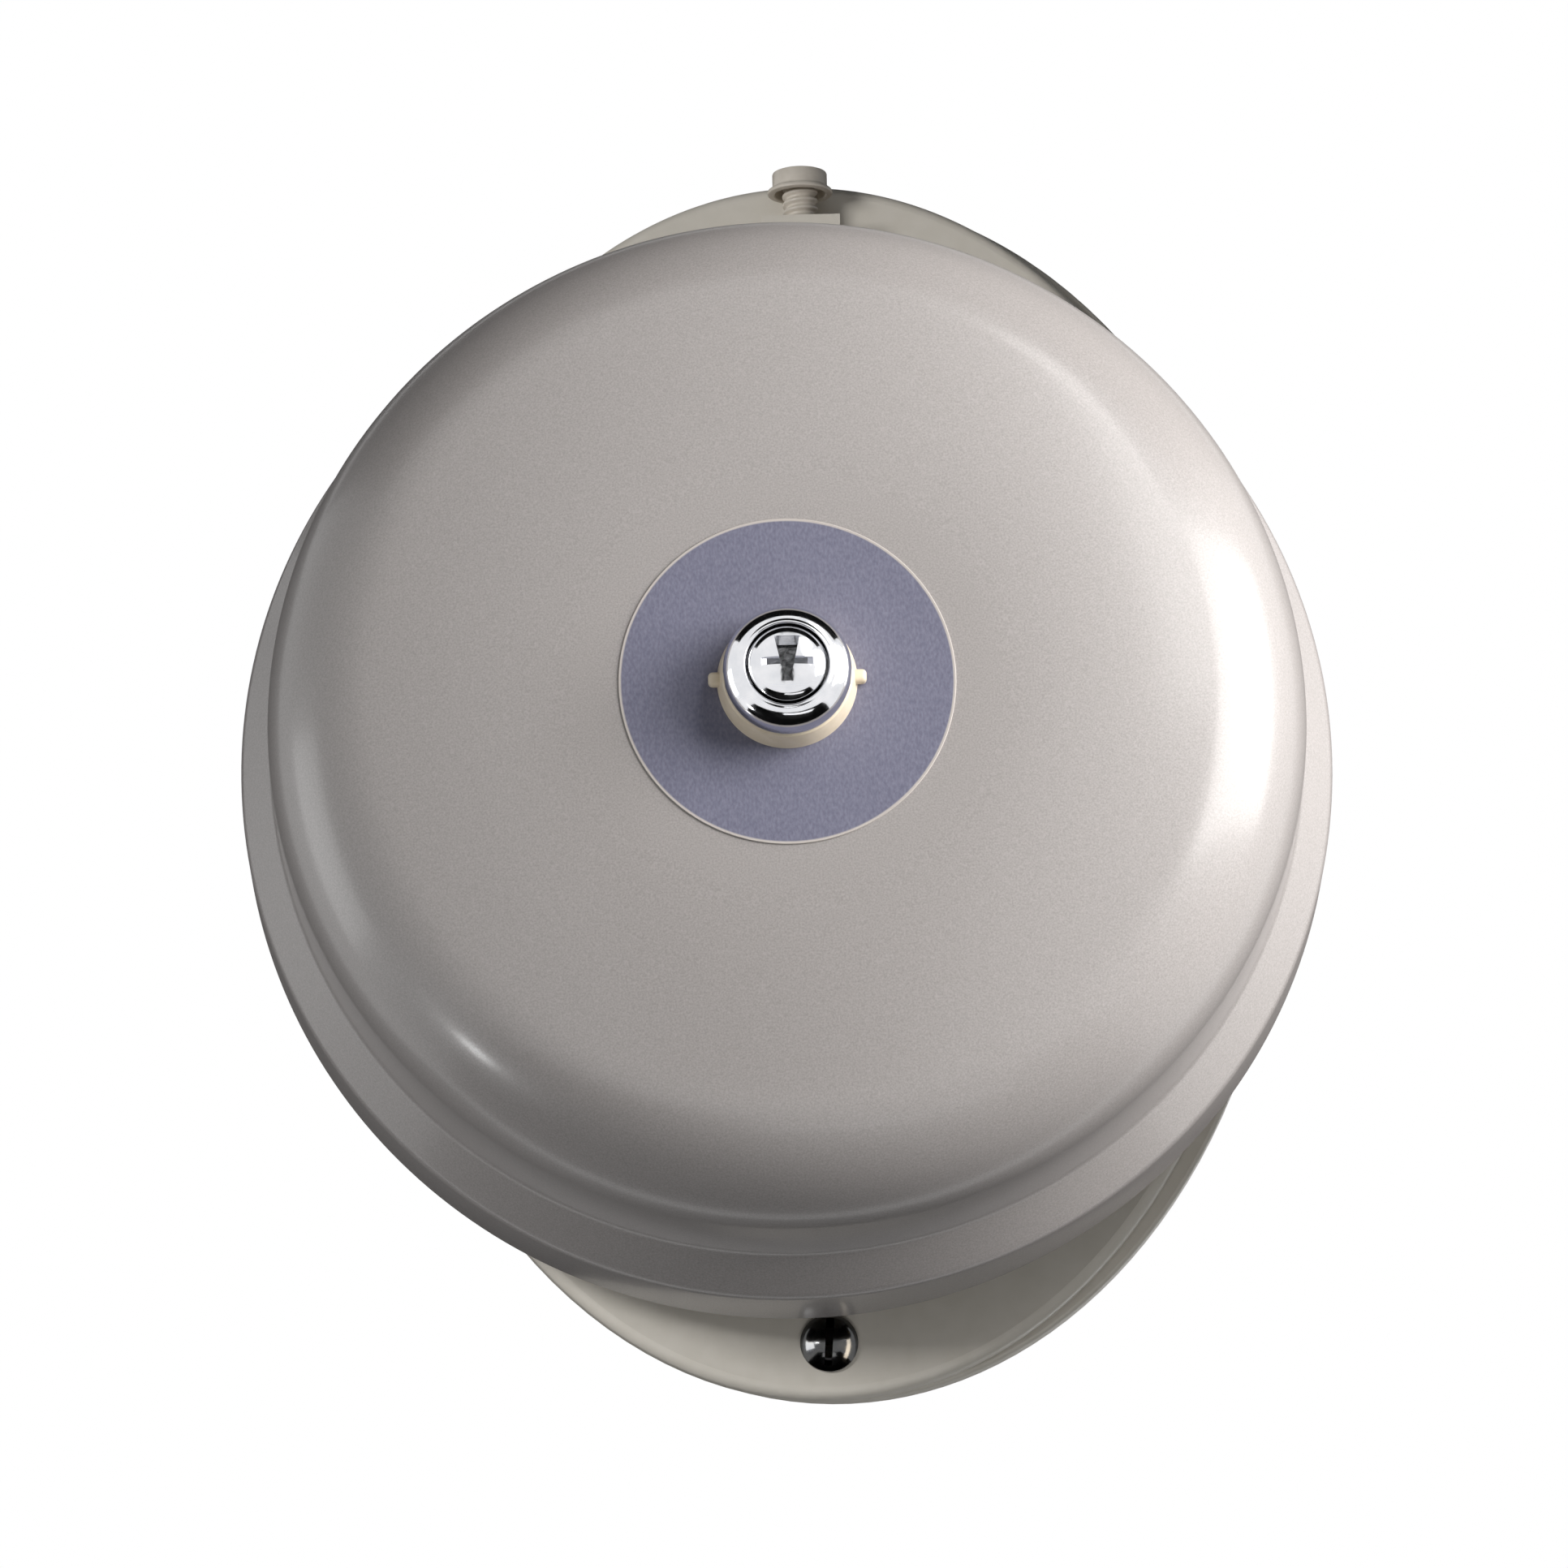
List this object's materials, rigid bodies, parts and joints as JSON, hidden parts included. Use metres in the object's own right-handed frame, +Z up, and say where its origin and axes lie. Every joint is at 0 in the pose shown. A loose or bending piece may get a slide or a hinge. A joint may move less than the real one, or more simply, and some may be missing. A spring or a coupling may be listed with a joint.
{
  "type": "wall-mounted underdome electric bell",
  "caption": "Wall bell: a painted steel gong with a stepped skirt in front of an oval plastic base that holds a coil and hammer mechanism.",
  "frame": {"origin": "on the wall face, midway between the two wall fixings", "axes": "+X to the right of someone who faces the bell, +Z up, +Y into the wall"},
  "size_m": [0.15, 0.0951, 0.1751],
  "materials": {
    "gong_paint": "hammered satin powder coat",
    "base_plastic": "satin moulded",
    "adjuster_plastic": "satin moulded",
    "bush_plastic": "satin moulded",
    "label_card": "matte, bare",
    "bright_chrome": "polished",
    "dark_nickel": "dark nickel plated",
    "zinc_steel": "zinc plated",
    "soft_iron": "plain",
    "silver": "polished silver",
    "brass": "plain",
    "copper_wire": "enamelled copper wire",
    "black_rubber": "matte",
    "felt": "pressed felt",
    "coil_plastic": "moulded nylon",
    "dark_phenolic": "moulded phenolic",
    "capacitor_case": "dipped"
  },
  "bodies": {
    "housing": {"rear_tray": "base_plastic", "front_cover": "base_plastic", "cable_grommet": "black_rubber", "cover_screw": "dark_nickel", "cover_screw_insert": "brass", "gong": "gong_paint", "label_disc": "label_card", "gong_pad": "felt", "gong_pillar": "zinc_steel", "pillar_nut": "zinc_steel", "gong_bush": "bush_plastic", "cup_washer": "bright_chrome", "centre_screw": "bright_chrome", "chassis_plate": "zinc_steel", "chassis_screws": "zinc_steel", "magnet_yoke": "soft_iron", "magnet_cores": "soft_iron", "coil_former_left": "coil_plastic", "coil_former_right": "coil_plastic", "coil_winding_left": "copper_wire", "coil_winding_right": "copper_wire", "hinge_bracket": "zinc_steel", "hinge_pin": "zinc_steel", "stop_bracket": "zinc_steel", "contact_block": "dark_phenolic", "contact_screw": "brass", "contact_locknut": "brass", "capacitor": "capacitor_case", "terminal_block": "dark_phenolic", "terminal_screws": "brass"},
    "hammer": {"armature": "soft_iron", "hammer_rod": "zinc_steel", "hammer_ball": "brass", "contact_leaf": "brass", "contact_point": "silver", "leaf_rivet": "zinc_steel"},
    "adjuster": {"adjuster_cap": "adjuster_plastic", "adjuster_stem": "adjuster_plastic"}
  },
  "joints": [
    {"name": "hammer_swing", "type": "hinge", "parent": "housing", "child": "hammer", "pos_m": [0.0345, -0.0345, 0.0104], "axis": [0, -1, 0], "range_deg": [0, 3], "stiffness_Nm_per_rad": 0.02, "springref_deg": -5.73},
    {"name": "adjuster_turn", "type": "hinge", "parent": "housing", "child": "adjuster", "pos_m": [0, -0.0249, 0.082], "axis": [0, 0, 1], "range_deg": [-180, 180]}
  ]
}
